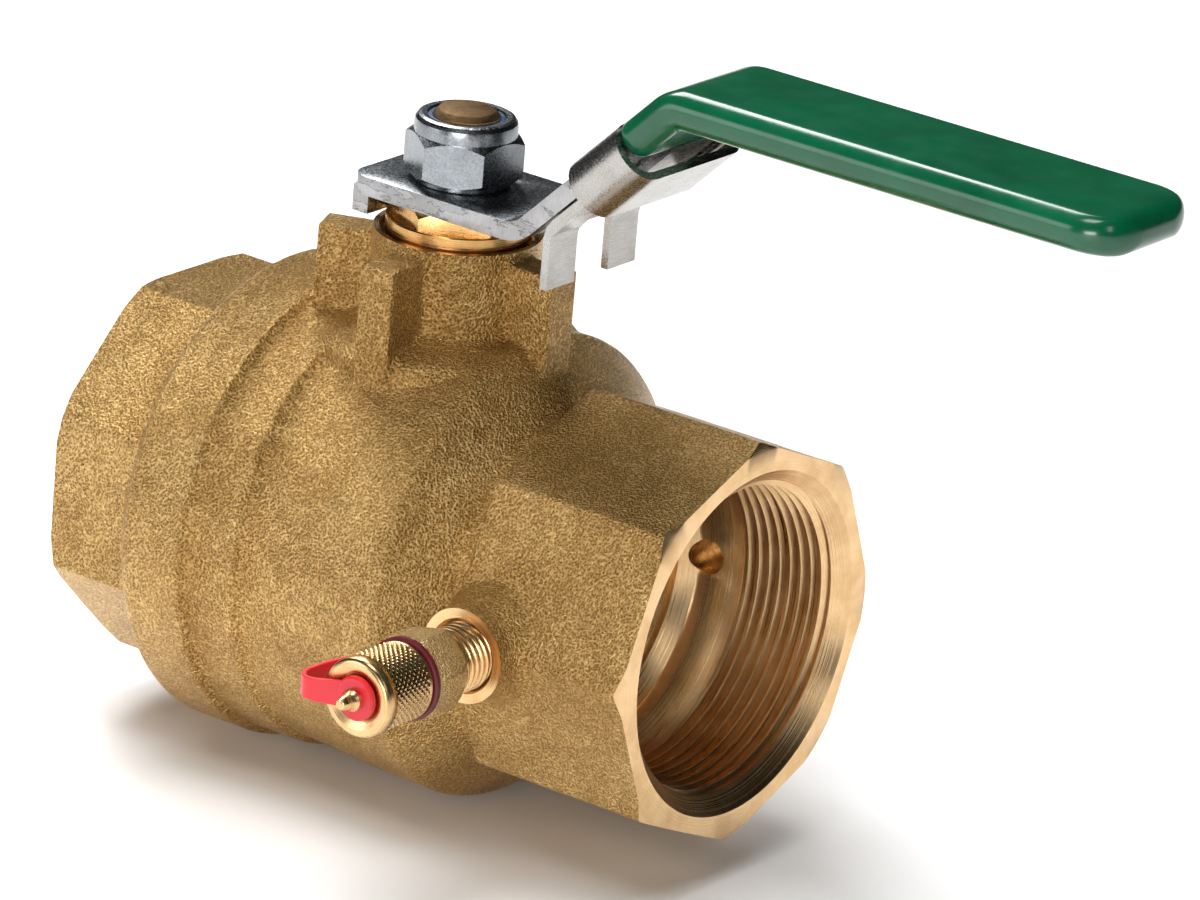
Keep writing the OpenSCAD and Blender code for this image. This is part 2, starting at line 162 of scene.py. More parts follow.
# ---- sizes of the test point
HEX_LOW, HEX_HIGH = 50.4, 58.15
PLUG_HEX_AF, PLUG_HEX_TURN = 14, 12
RING_LOW, RING_HIGH = 58.2, 59.6
KNURL_R = 7.2

# ---- the stage, in metres
FLOOR_GAP = 0.0005
FLOOR_SIZE = 3.0

# Turns that carry a shape built along +Z onto another axis
UPRIGHT = Matrix.Rotation(math.pi / 2, 4, "X")
ALONG_X = Matrix.Rotation(math.pi / 2, 4, "Y")
TEST_AXIS = Matrix.Translation((TEST_X, 0, 0)) @ Matrix.Rotation(math.pi / 2, 4, "X")
BLANK_AXIS = Matrix.Translation((TEST_X, 0, 0)) @ Matrix.Rotation(-math.pi / 2, 4, "X")


# ==== mesh helpers
def raw_object(name, verts, faces):
    mesh = bpy.data.meshes.new(name)
    mesh.from_pydata([tuple(v) for v in verts], [], faces)
    bm = bmesh.new()
    bm.from_mesh(mesh)
    bmesh.ops.recalc_face_normals(bm, faces=bm.faces)
    bm.to_mesh(mesh)
    bm.free()
    obj = bpy.data.objects.new(name, mesh)
    bpy.context.scene.collection.objects.link(obj)
    return obj


def lathe(profile, turn=None, steps=128, ring=False, name="lathe"):
    """A solid turned about Z from (radius, height) points. A ring's profile closes on itself."""
    verts, rows = [], []
    for r, z in profile:
        if r < 1e-6:
            rows.append([len(verts)] * steps)
            verts.append((0, 0, z))
        else:
            rows.append([len(verts) + i for i in range(steps)])
            verts += [(r * math.cos(a), r * math.sin(a), z)
                      for a in (2 * math.pi * i / steps for i in range(steps))]
    faces = []
    count = len(rows)
    for k in range(count if ring else count - 1):
        here, there = rows[k], rows[(k + 1) % count]
        for i in range(steps):
            j = (i + 1) % steps
            face = list(dict.fromkeys([here[i], here[j], there[j], there[i]]))
            if len(face) > 2:
                faces.append(face)
    obj = raw_object(name, verts, faces)
    if turn is not None:
        obj.data.transform(turn)
    return obj


def rod(r, low, high, turn=None):
    return lathe([(0, low), (r, low), (r, high), (0, high)], turn)


def prism(outline, low, high, turn=None, name="prism"):
    """A straight prism along Z over an outline of (x, y) points."""
    n = len(outline)
    verts = [(x, y, low) for x, y in outline] + [(x, y, high) for x, y in outline]
    faces = [list(range(n))[::-1], list(range(n, 2 * n))]
    faces += [[i, (i + 1) % n, n + (i + 1) % n, n + i] for i in range(n)]
    obj = raw_object(name, verts, faces)
    if turn is not None:
        obj.data.transform(turn)
    return obj


def polygon(count, across_flats, turn=0.0):
    """A regular outline with its first corner at the angle turn, in degrees."""
    r = across_flats / 2 / math.cos(math.pi / count)
    return [(r * math.cos(a), r * math.sin(a))
            for a in (math.radians(turn) + 2 * math.pi * i / count for i in range(count))]


def box_between(low, high, turn=None):
    outline = [(low[0], low[1]), (high[0], low[1]), (high[0], high[1]), (low[0], high[1])]
    return prism(outline, low[2], high[2], turn)


def screw(low, high, radius, turn=None, steps=160, rows=16, pitch=PITCH, name="screw"):
    """A solid whose radius follows one thread form; radius(phase) is asked from 0 to 1."""
    count = int((high - low) / pitch * rows)
    form = [radius(k / rows) for k in range(rows)]
    verts = []
    for j in range(steps):
        a = 2 * math.pi * j / steps
        for k in range(count + 1):
            r = form[k % rows]
            verts.append((r * math.cos(a), r * math.sin(a),
                          low + pitch * (k / rows + j / steps)))
    faces = []
    last = count - rows
    for j in range(steps - 1):
        for k in range(count):
            a, b = j * (count + 1) + k, (j + 1) * (count + 1) + k
            faces.append([a, b, b + 1, a + 1])
    end = (steps - 1) * (count + 1)
    for k in range(last):
        faces.append([end + k, k + rows, k + rows + 1, end + k + 1])
    # Spiral ends closed with a fan to the axis
    foot, head = len(verts), len(verts) + 1
    verts += [(0, 0, low), (0, 0, low + count / rows * pitch)]
    bottom = [j * (count + 1) for j in range(steps)] + [rows - k for k in range(rows)]
    for i in range(len(bottom)):
        faces.append([bottom[i], bottom[(i + 1) % len(bottom)], foot])
    top = [j * (count + 1) + count for j in range(steps)]
    top += [end + last + k for k in range(rows, -1, -1)][1:]
    for i in range(len(top)):
        faces.append([top[i], top[(i + 1) % len(top)], head])
    obj = raw_object(name, verts, faces)
    if turn is not None:
        obj.data.transform(turn)
    return obj


def settle(obj):
    """Applies the modifiers of a mesh object."""
    graph = bpy.context.evaluated_depsgraph_get()
    mesh = bpy.data.meshes.new_from_object(obj.evaluated_get(graph))
    obj.modifiers.clear()
    obj.data = mesh
    return obj


def combine(target, tool, operation="DIFFERENCE", solver="MANIFOLD"):
    mod = target.modifiers.new("combine", "BOOLEAN")
    mod.operation, mod.solver, mod.object = operation, solver, tool
    settle(target)
    bpy.data.objects.remove(tool)
    return target


def carve(target, *tools):
    for tool in tools:
        combine(target, tool)
    return target


def weld_shells(shells, voxel, rounds, name):
    """One cast skin over several overlapping solids, its corners rounded by smoothing."""
    bm = bmesh.new()
    for shell in shells:
        bm.from_mesh(shell.data)
        bpy.data.objects.remove(shell)
    mesh = bpy.data.meshes.new(name)
    bm.to_mesh(mesh)
    bm.free()
    obj = bpy.data.objects.new(name, mesh)
    bpy.context.scene.collection.objects.link(obj)
    remesh = obj.modifiers.new("remesh", "REMESH")
    remesh.mode, remesh.voxel_size, remesh.adaptivity = "VOXEL", voxel, 0
    smooth = obj.modifiers.new("smooth", "SMOOTH")
    smooth.factor, smooth.iterations = 0.5, rounds
    return settle(obj)


def roughen(obj, size, depth, seed=0.0):
    """Moves the skin in and out a little, as sand or a shot blast leaves it."""
    mesh = obj.data
    count = len(mesh.vertices)
    places, normals = np.zeros(count * 3, np.float32), np.zeros(count * 3, np.float32)
    mesh.vertices.foreach_get("co", places)
    mesh.vertices.foreach_get("normal", normals)
    places, normals = places.reshape(-1, 3), normals.reshape(-1, 3)
    shift = Vector((seed, seed * 0.7, seed * 1.3))
    push = np.array([noise.noise(Vector(p) / size + shift) for p in places]) * depth
    mesh.vertices.foreach_set("co", (places + normals * push[:, None]).astype(np.float32).ravel())
    mesh.update()
    return obj


def soften_edges(obj, width, angle=30, segments=2):
    mod = obj.modifiers.new("edges", "BEVEL")
    mod.width, mod.segments, mod.limit_method = width, segments, "ANGLE"
    mod.angle_limit = math.radians(angle)
    mod.use_clamp_overlap = True
    return settle(obj)


def blend_cast_edges(mesh):
    """Takes the sharp mark off every edge that lies between two cast faces."""
    loops = len(mesh.loops)
    edge_of, cast = np.zeros(loops, np.int32), np.zeros(len(mesh.polygons), np.int32)
    mesh.loops.foreach_get("edge_index", edge_of)
    mesh.polygons.foreach_get("material_index", cast)
    sizes = np.zeros(len(mesh.polygons), np.int32)
    mesh.polygons.foreach_get("loop_total", sizes)
    machined = np.zeros(len(mesh.edges), bool)
    np.logical_or.at(machined, edge_of, np.repeat(cast > 0, sizes))
    sharp = np.zeros(len(mesh.edges), bool)
    mesh.edges.foreach_get("use_edge_sharp", sharp)
    mesh.edges.foreach_set("use_edge_sharp", sharp & machined)


def add_piece(obj, name, body, materials, nodes, angle=30, choose=None, cast=False):
    """Names, shades and places a finished shape, and ties it to its CAD body and nodes."""
    obj.name = obj.data.name = name
    obj.data.transform(Matrix.Translation((STEM_X * MM, 0, 0)) @ Matrix.Scale(MM, 4))
    obj.data.materials.clear()
    for material in materials:
        obj.data.materials.append(material)
    for face in obj.data.polygons:
        face.use_smooth = True
        face.material_index = 0
        if choose is not None:
            place = face.center / MM - Vector((STEM_X, 0, 0))
            face.material_index = choose(place, face.normal)
    obj.data.set_sharp_from_angle(angle=math.radians(angle))
    if choose is not None and cast:
        blend_cast_edges(obj.data)
    if body is not None:
        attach(obj, body)
    if nodes:
        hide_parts(*nodes)
    return obj


# ==== material helpers
class Nodes:
    """Short calls for building one material's node tree."""

    def __init__(self, name):
        self.material = bpy.data.materials.new(name)
        self.material.use_nodes = True
        self.tree = self.material.node_tree
        self.shader = self.tree.nodes["Principled BSDF"]
        self.place = self.add("ShaderNodeTexCoord").outputs["Object"]

    def add(self, kind, **settings):
        node = self.tree.nodes.new(kind)
        for key, value in settings.items():
            if key in node.inputs:
                node.inputs[key].default_value = value
            else:
                setattr(node, key, value)
        return node

    def link(self, source, target):
        self.tree.links.new(source, target)

    def set(self, **sockets):
        for key, value in sockets.items():
            self.shader.inputs[key.replace("_", " ")].default_value = value

    def grain(self, size_mm, detail=2.0, rough=0.5, stretch=(1, 1, 1), distortion=0.0):
        """Noise whose grains are about size_mm across."""
        mapping = self.add("ShaderNodeMapping")
        mapping.inputs["Scale"].default_value = stretch
        self.link(self.place, mapping.inputs["Vector"])
        node = self.add("ShaderNodeTexNoise")
        node.inputs["Scale"].default_value = 1 / (size_mm * MM)
        node.inputs["Detail"].default_value = detail
        node.inputs["Roughness"].default_value = rough
        node.inputs["Distortion"].default_value = distortion
        self.link(mapping.outputs["Vector"], node.inputs["Vector"])
        return node.outputs["Fac"]

    def cells(self, size_mm):
        node = self.add("ShaderNodeTexVoronoi")
        node.inputs["Scale"].default_value = 1 / (size_mm * MM)
        self.link(self.place, node.inputs["Vector"])
        return node.outputs["Distance"]

    def ramp(self, value, *stops):
        node = self.add("ShaderNodeValToRGB")
        ramp = node.color_ramp
        while len(ramp.elements) < len(stops):
            ramp.elements.new(0.5)
        for element, (at, colour) in zip(ramp.elements, stops):
            element.position = at
            element.color = (*colour, 1) if len(colour) == 3 else colour
        self.link(value, node.inputs["Fac"])
        return node.outputs["Color"]

    def level(self, value, low, high, start=0.0, end=1.0):
        """Maps a value from start..end onto low..high."""
        node = self.add("ShaderNodeMapRange")
        for key, number in (("From Min", start), ("From Max", end), ("To Min", low), ("To Max", high)):
            node.inputs[key].default_value = number
        self.link(value, node.inputs["Value"])
        return node.outputs["Result"]

    def mix(self, factor, first, second, blend="MIX"):
        node = self.add("ShaderNodeMix", data_type="RGBA", blend_type=blend)
        for socket, value in (("Factor", factor), ("A", first), ("B", second)):
            targets = [s for s in node.inputs if s.name == socket and s.enabled]
            target = targets[0]
            if isinstance(value, (tuple, float, int)):
                target.default_value = (*value, 1) if isinstance(value, tuple) else value
            else:
                self.link(value, target)
        return [s for s in node.outputs if s.enabled][0]

    def math(self, operation, first, second):
        node = self.add("ShaderNodeMath", operation=operation)
        for target, value in zip(node.inputs, (first, second)):
            if isinstance(value, (float, int)):
                target.default_value = value
            else:
                self.link(value, target)
        return node.outputs[0]

    def bump(self, height, depth_mm, strength=1.0):
        node = self.add("ShaderNodeBump")
        node.inputs["Strength"].default_value = strength
        node.inputs["Distance"].default_value = depth_mm * MM
        self.link(height, node.inputs["Height"])
        return node.outputs["Normal"]

    def distance_from(self, axis, centre=(0, 0, 0)):
        """Distance from a line through centre along axis, and the place along it."""
        shift = self.add("ShaderNodeVectorMath", operation="SUBTRACT")
        self.link(self.place, shift.inputs[0])
        shift.inputs[1].default_value = centre
        flat = self.add("ShaderNodeVectorMath", operation="MULTIPLY")
        self.link(shift.outputs[0], flat.inputs[0])
        flat.inputs[1].default_value = tuple(0 if i == axis else 1 for i in range(3))
        length = self.add("ShaderNodeVectorMath", operation="LENGTH")
        self.link(flat.outputs[0], length.inputs[0])
        parts = self.add("ShaderNodeSeparateXYZ")
        self.link(shift.outputs[0], parts.inputs[0])
        return length.outputs["Value"], parts.outputs[axis]

    def turned(self, axis, centre, line_mm):
        """Fine lathe lines: noise that only changes along and away from an axis."""
        radius, along = self.distance_from(axis, centre)
        joined = self.add("ShaderNodeCombineXYZ")
        self.link(radius, joined.inputs[0])
        self.link(along, joined.inputs[1])
        node = self.add("ShaderNodeTexNoise")
        node.inputs["Scale"].default_value = 1 / (line_mm * MM)
        node.inputs["Detail"].default_value = 3
        self.link(joined.outputs[0], node.inputs["Vector"])
        return node.outputs["Fac"]

    def finish(self, colour, roughness, normal=None):
        self.link(colour, self.shader.inputs["Base Color"])
        self.link(roughness, self.shader.inputs["Roughness"])
        if normal is not None:
            self.link(normal, self.shader.inputs["Normal"])
        return self.material


def cast_brass(name, dark=(0.25, 0.135, 0.034), mid=(0.48, 0.295, 0.095), light=(0.78, 0.55, 0.25)):
    """Shot-blasted casting: grains of a quarter to half a millimetre, and cloudy oxide patches."""
    n = Nodes(name)
    n.set(Metallic=1.0)
    grain = n.grain(0.26, detail=2, rough=0.55)
    pits = n.cells(0.46)
    patches = n.grain(3.2, detail=3, rough=0.6)
    stain = n.grain(14, detail=5, rough=0.62, distortion=0.8)
    height = n.math("ADD", n.math("MULTIPLY", grain, 0.55), n.math("MULTIPLY", pits, 0.55))
    base = n.ramp(height, (0.32, dark), (0.50, mid), (0.72, light))
    tone = n.ramp(patches, (0.36, (0.92, 0.90, 0.87)), (0.62, (1.04, 1.03, 1.02)))
    base = n.mix(1.0, base, tone, "MULTIPLY")
    clouds = n.ramp(stain, (0.42, (0.84, 0.79, 0.72)), (0.60, (1.02, 1.01, 1.0)))
    base = n.mix(1.0, base, clouds, "MULTIPLY")
    return n.finish(base, n.level(grain, 0.38, 0.26, 0.35, 0.7), n.bump(height, 0.60, 1.0))


def turned_brass(name, axis, centre, colour=(0.80, 0.58, 0.27), deep=(0.50, 0.31, 0.10), rough=0.22):
    n = Nodes(name)
    n.set(Metallic=1.0, Anisotropic=0.0)
    lines = n.turned(axis, tuple(c * MM for c in centre), 0.22)
    tarnish = n.grain(6, detail=4, rough=0.6)
    base = n.mix(n.level(tarnish, 0.0, 0.75, 0.38, 0.72), colour, deep)
    base = n.mix(1.0, base, n.ramp(lines, (0.3, (0.86, 0.84, 0.8)), (0.7, (1.05, 1.05, 1.05))), "MULTIPLY")
    roughness = n.level(lines, rough * 0.7, rough * 1.5, 0.3, 0.7)
    return n.finish(base, roughness, n.bump(lines, 0.03, 0.5))


def steel(name, colour, blotch, size=0.6, rough=(0.2, 0.42), stretch=(1, 1, 1), depth=0.04,
          cracked=False):
    n = Nodes(name)
    n.set(Metallic=1.0)
    fine = n.grain(size, detail=4, rough=0.6, stretch=stretch)
    wide = n.grain(7, detail=4, rough=0.55, distortion=0.4)
    base = n.mix(n.level(wide, 0.0, 0.8, 0.35, 0.7), colour, blotch)
    base = n.mix(1.0, base, n.ramp(fine, (0.3, (0.8, 0.8, 0.8)), (0.7, (1.06, 1.06, 1.06))), "MULTIPLY")
    if cracked:
        tear = n.grain(5, detail=5, rough=0.65, stretch=(0.35, 0.35, 1.3))
        line = n.ramp(tear, (0.485, (1, 1, 1)), (0.50, (0.4, 0.39, 0.38)), (0.515, (1.2, 1.2, 1.2)))
        base = n.mix(1.0, base, line, "MULTIPLY")
    return n.finish(base, n.level(fine, rough[0], rough[1], 0.3, 0.7), n.bump(fine, depth, 0.6))


def plastic(name, colour, shade, rough=(0.25, 0.4), size=1.2, depth=0.03, coat=0.0, sub=0.0):
    n = Nodes(name)
    n.set(Metallic=0.0, Coat_Weight=coat, Coat_Roughness=0.08, Subsurface_Weight=sub)
    if sub:
        n.set(Subsurface_Scale=0.002)
    fine = n.grain(size, detail=3)
    wide = n.grain(12, detail=3, distortion=0.3)
    base = n.mix(n.level(wide, 0.0, 1.0, 0.35, 0.7), colour, shade)
    return n.finish(base, n.level(fine, rough[0], rough[1], 0.3, 0.7), n.bump(fine, depth, 0.5))


# ==== materials
CENTRE = (STEM_X, 0, 0)
TEST_CENTRE = (STEM_X + TEST_X, 0, 0)
CAST = cast_brass("cast_brass")
CAST_HEX = cast_brass("cast_brass_bright", (0.38, 0.25, 0.10), (0.66, 0.49, 0.23), (0.84, 0.67, 0.38))
BORE = turned_brass("turned_brass_pipe", 0, CENTRE, (0.90, 0.62, 0.34), (0.66, 0.40, 0.17), 0.30)
NECK = turned_brass("turned_brass_neck", 2, CENTRE, (0.72, 0.44, 0.17), (0.42, 0.21, 0.07), 0.24)
POINT = turned_brass("turned_brass_test_point", 1, TEST_CENTRE, (0.84, 0.58, 0.30), (0.58, 0.34, 0.14), 0.26)
CHROME = steel("chromed_ball", (0.72, 0.82, 0.90), (0.60, 0.70, 0.78), 2.5, (0.04, 0.09), depth=0.005)
ZINC = steel("zinc_steel", (0.31, 0.33, 0.35), (0.22, 0.23, 0.24), 0.5, (0.20, 0.36))
SHEARED = steel("sheared_edge", (0.42, 0.42, 0.43), (0.30, 0.29, 0.28), 0.35, (0.35, 0.55),
                (1, 1, 0.22), 0.12, cracked=True)
STUD_END = steel("stud_end", (0.22, 0.135, 0.06), (0.12, 0.07, 0.03), 0.9, (0.45, 0.7), depth=0.3)
BRUSHED = steel("brushed_stainless", (0.47, 0.455, 0.43), (0.36, 0.34, 0.31), 0.28, (0.16, 0.34),
                (1, 0.08, 1), 0.03)
VINYL = plastic("green_vinyl", (0.001, 0.085, 0.034), (0.001, 0.062, 0.024), (0.16, 0.26), 5.0, 0.012, 0.2)
RED = plastic("red_plastic", (0.62, 0.010, 0.022), (0.50, 0.008, 0.02), (0.28, 0.42), 0.8, 0.03, 0.2, 0.15)
# Darker copy of the strap's red plastic: painted shade for the strap's anchor ring under the cap
PAINTED_SHADE_RED = plastic("maroon_rubber", (0.10, 0.006, 0.014), (0.08, 0.005, 0.01), (0.3, 0.45), 0.8)
NYLON = plastic("nylon_insert", (0.03, 0.06, 0.12), (0.02, 0.04, 0.08), (0.3, 0.5), 0.7)
PTFE = plastic("ptfe", (0.82, 0.82, 0.79), (0.76, 0.75, 0.71), (0.3, 0.45), 2.0, 0.02, 0.0, 0.1)
RUBBER = plastic("seal_rubber", (0.018, 0.018, 0.018), (0.012, 0.012, 0.012), (0.45, 0.6), 0.6)


# ==== housing
def octagon_casting(low, high, turn):
    outline = polygon(8, 2 * OCTAGON_R * math.cos(math.pi / 8), turn)
    return prism(outline, low, high, ALONG_X)


def face_off(x, outward):
    """Cutter that machines a port face flat and turns its corners to a shallow cone."""
    far = 12
    flat_r = OCTAGON_R * math.cos(math.pi / 8) + 1.2
    points = [(0, x), (flat_r, x), (flat_r + 5, x - outward * 3), (CLEAR, x - outward * 3),
              (CLEAR, x + outward * far), (0, x + outward * far)]
    return lathe(points, ALONG_X)


def port_cutters(face, outward):
    """Mouth chamfer and thread of one port; outward is +1 at the outlet, -1 at the inlet."""
    mouth = lathe([(0, face - outward * MOUTH_DEPTH), (PORT_R, face - outward * MOUTH_DEPTH),
                   (MOUTH_R, face), (MOUTH_R, face + outward * 3), (0, face + outward * 3)], ALONG_X)

    def form(phase):
        height = 1 - abs(2 * phase - 1)
        return PORT_R + (THREAD_OUT_R - PORT_R) * min(1, max(0, (height - 0.12) / 0.76))

    ends = sorted((face - outward * THREAD_LEN, face + outward * 4))
    thread = screw(ends[0] - 1, ends[1], form, ALONG_X)
    return [mouth, thread]


def turned_or_cast(place, normal):
    """0 for cast skin, 1 for surfaces that a lathe has cut."""
    from_axis = math.hypot(place.y, place.z)
    if from_axis < MOUTH_R + 0.05:
        return 1
    on_face = abs(place.x - OUTLET) < 0.02 or abs(place.x - INLET) < 0.02
    on_joint = abs(place.x - JOINT) < 0.02
    on_corner = (place.x > OUTLET - 5 or place.x < INLET + 5) and 0.5 < abs(normal.x) < 0.95
    return 1 if on_face or on_joint or on_corner else 0


def body_skin():
    barrel = [(0, JOINT), (RIM_R - 1.2, JOINT), (RIM_R, JOINT + 1.6), (RIM_R, -23.6),
              (RIM_R - 1.5, -22.6), (RIM_R - 1.5, -12.4), (RIM_R - 2.9, -11.4),
              (BARREL_R - 1.3, -9), (BARREL_R - 0.3, 6), (BARREL_R, 19.5), (BARREL_R - 0.5, 20.8),
              (BARREL_R - 7.9, 28.2), (BARREL_R - 9.2, 29.6), (BARREL_R - 9.4, 38.5), (0, 38.5)]
    shells = [lathe(barrel, ALONG_X), octagon_casting(32.5, OUTLET + 2, 90)]
    shells.append(lathe([(0, 20), (LUG_R - 0.8, 20), (LUG_R - 0.8, 38.6), (LUG_R - 2, 40.2),
                         (NECK_R + 2.4, 42.4), (NECK_R + 0.5, 43.3), (NECK_R, 44.4),
                         (NECK_R, NECK_TOP + 2), (0, NECK_TOP + 2)]))
    for angle in LUG_ANGLES:
        turn = Matrix.Rotation(math.radians(angle), 4, "Z")
        shells.append(box_between((8, -LUG_W / 2, 30), (LUG_R, LUG_W / 2, LUG_TOP + 0.05), turn))
    for turn in (TEST_AXIS, BLANK_AXIS):
        shells.append(lathe([(0, 20), (BOSS_R + 4, 30), (BOSS_R + 1.5, 36), (BOSS_R + 0.3, 38.5),
                             (BOSS_R, 40), (BOSS_R, BOSS_FACE + 2), (0, BOSS_FACE + 2)], turn))
    skin = weld_shells(shells, FINE, 3, "body")
    return roughen(skin, 9.0, 0.07)


def body():
    skin = body_skin()
    cutters = port_cutters(OUTLET, 1)
    cutters.append(face_off(OUTLET, 1))
    cutters.append(rod(CLEAR, -CLEAR, JOINT, ALONG_X))
    # Relief behind the thread, cone, passage, seat pocket, chamber and joint thread
    cutters.append(lathe([(0, JOINT - 1), (NOSE_R, JOINT - 1), (NOSE_R, NOSE_END),
                          (CHAMBER_R, NOSE_END), (CHAMBER_R, SEAT_FRONT), (SEAT_R, SEAT_FRONT),
                          (SEAT_R, SEAT_BACK), (PASSAGE_R, SEAT_BACK), (PASSAGE_R, PASSAGE_END),
                          (RELIEF_R - 3, PASSAGE_END), (RELIEF_R - 0.4, RELIEF_START - 0.6),
                          (RELIEF_R, RELIEF_START),
                          (RELIEF_R, OUTLET - THREAD_LEN), (THREAD_OUT_R - 0.5, OUTLET - THREAD_LEN + 1),
                          (0, OUTLET - THREAD_LEN + 1)], ALONG_X))
    # Stem bore, packing box and gland recess
    cutters.append(lathe([(0, 20), (POCKET_R, 20), (POCKET_R, POCKET_TOP), (STEM_BORE_R, POCKET_TOP),
                          (STEM_BORE_R, PACKING_LOW), (PACKING_R, PACKING_LOW),
                          (PACKING_R, GLAND_LOW), (GLAND_R, GLAND_LOW), (GLAND_R, RECESS_LOW),
                          (RECESS_R, RECESS_LOW), (RECESS_R, NECK_TOP - 0.5),
                          (RECESS_R + 0.4, NECK_TOP), (CLEAR, NECK_TOP), (CLEAR, 80), (0, 80)]))
    for turn in (TEST_AXIS, BLANK_AXIS):
        cutters.append(lathe([(0, 20), (PLUG_HOLE_R, 20), (PLUG_HOLE_R, PLUG_BORE_END),
                              (PLUG_BORE_R, PLUG_BORE_END), (PLUG_BORE_R, BOSS_FACE - 0.6),
                              (PLUG_BORE_R + 0.65, BOSS_FACE), (20, BOSS_FACE), (20, CLEAR),
                              (0, CLEAR)], turn, 64))
    carve(skin, *cutters)

    def choose(place, normal):
        if math.hypot(place.x, place.y) < NECK_R + 3 and place.z > 44:
            inside = math.hypot(place.x, place.y) < 14.3
            return 2 if inside or place.z > NECK_TOP - 0.02 else 0
        across = math.hypot(place.x - TEST_X, place.z)
        if across < 7 and abs(place.y) > 31:
            return 3
        if across < BOSS_R + 1 and abs(abs(place.y) - BOSS_FACE) < 0.02:
            return 3
        return turned_or_cast(place, normal)

    return add_piece(skin, "valve_body", "housing", [CAST, BORE, NECK, POINT],
                     ["body"], 40, choose, cast=True)


def retainer():
    outline_r = OCTAGON_R - 0.1
    shells = [octagon_casting(INLET - 2, JOINT - 1.5, 90 + 22.5),
              lathe([(0, JOINT - 6), (outline_r - 2, JOINT - 6), (36.6, JOINT - 3.4),
                     (36.6, JOINT + 0.6), (0, JOINT + 0.6)], ALONG_X)]
    skin = roughen(weld_shells(shells, FINE, 3, "retainer"), 9.0, 0.07, 4.0)
    cutters = port_cutters(INLET, -1)
    cutters.append(face_off(INLET, -1))
    cutters.append(rod(CLEAR, JOINT, 20, ALONG_X))
    cutters.append(lathe([(0, INLET + THREAD_LEN - 1), (THREAD_OUT_R - 0.5, INLET + THREAD_LEN - 1),
                          (THREAD_OUT_R - 0.5, INLET + THREAD_LEN), (PASSAGE_R, JOINT + 0.5),
                          (0, JOINT + 0.5)], ALONG_X))
    carve(skin, *cutters)
    nose = lathe([(PASSAGE_R, JOINT - 0.01), (NOSE_R, JOINT - 0.01), (NOSE_R, NOSE_END),
                  (SEAT_R, NOSE_END), (SEAT_R, RETAINER_SEAT), (PASSAGE_R, RETAINER_SEAT)],
                 ALONG_X, ring=True)
    combine(skin, nose, "UNION")
    return add_piece(skin, "retainer_end", "housing", [CAST, BORE], ["retainer"],
                     40, turned_or_cast, cast=True)


def carry_over(node, material):
    """Keeps a hidden or simple CAD part as it is and gives it its finish."""
    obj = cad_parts[node]
    obj.data.materials.clear()
    obj.data.materials.append(material)
    for face in obj.data.polygons:
        face.material_index = 0
        face.use_smooth = True
    obj.data.set_sharp_from_angle(angle=math.radians(30))
    return obj


def gland():
    low, high = GLAND_COLLAR_TOP, extent("gland_nut", 2)[1]
    hexagon = prism(polygon(6, GLAND_HEX_AF, GLAND_HEX_TURN), low - 0.5, high)
    dome = lathe([(0, low - 0.5), (13.1, low - 0.5), (13.1, high - 1), (12, high), (0, high)])
    combine(hexagon, dome, "INTERSECT", "EXACT")
    soften_edges(hexagon, 0.2)
    foot = lathe([(0, GLAND_LOW + 0.05), (GLAND_R - 0.05, GLAND_LOW + 0.05),
                  (GLAND_R - 0.05, RECESS_LOW + 0.2), (GLAND_COLLAR_R, RECESS_LOW + 0.2),
                  (GLAND_COLLAR_R, low - 0.2), (GLAND_COLLAR_R - 0.2, low), (0, low)])
    combine(hexagon, foot, "UNION", "EXACT")
    carve(hexagon, rod(STEM_BORE_R, 50, 70))
    return add_piece(hexagon, "gland_hexagon", "housing", [NECK], ["gland_nut"])


# ==== lever group
def bent_line(lift, reach, bend_r, low_x):
    """Side outline of one face of the lever plate as (x, z) points, with round bends."""
    shift = lift * math.tan(SLOPE / 2)
    rise = HANDLE_TOP - PLATE_TOP
    corners = [(SLOPE_X0 - shift, PLATE_TOP + lift, 1), (SLOPE_X0 + rise - shift, HANDLE_TOP + lift, -1)]
    points = [(low_x, PLATE_TOP + lift)]
    for x, z, bend in corners:
        r = bend_r - bend * lift
        t = r * math.tan(SLOPE / 2)
        start = (x - t, z) if bend > 0 else (x - t * math.cos(SLOPE), z - t * math.sin(SLOPE))
        first = 0 if bend > 0 else SLOPE
        for k in range(9):
            a = first + bend * SLOPE * k / 8
            if bend > 0:
                points.append((start[0] + r * math.sin(a), start[1] + r * (1 - math.cos(a))))
            else:
                points.append((start[0] + r * (math.sin(SLOPE) - math.sin(a)),
                               start[1] + r * (math.cos(a) - math.cos(SLOPE))))
    points.append((reach, HANDLE_TOP + lift))
    return points


def rounded_plan(low_x, high_x, width, low_r, high_r):
    """Plan outline of the lever with round corners at both ends."""
    points = []
    for x, y, r, first in ((high_x - high_r, width / 2 - high_r, high_r, 0),
                           (low_x + low_r, width / 2 - low_r, low_r, 90),
                           (low_x + low_r, low_r - width / 2, low_r, 180),
                           (high_x - high_r, high_r - width / 2, high_r, 270)):
        points += [(x + r * math.cos(math.radians(first + 15 * k)),
                    y + r * math.sin(math.radians(first + 15 * k))) for k in range(7)]
    return points


def double_flat(r, half_flat):
    """Circle with two flats, as the stem and the lever's hole have."""
    return [(r * math.cos(math.radians(a)),
             max(-half_flat, min(half_flat, r * math.sin(math.radians(a))))) for a in range(0, 360, 6)]


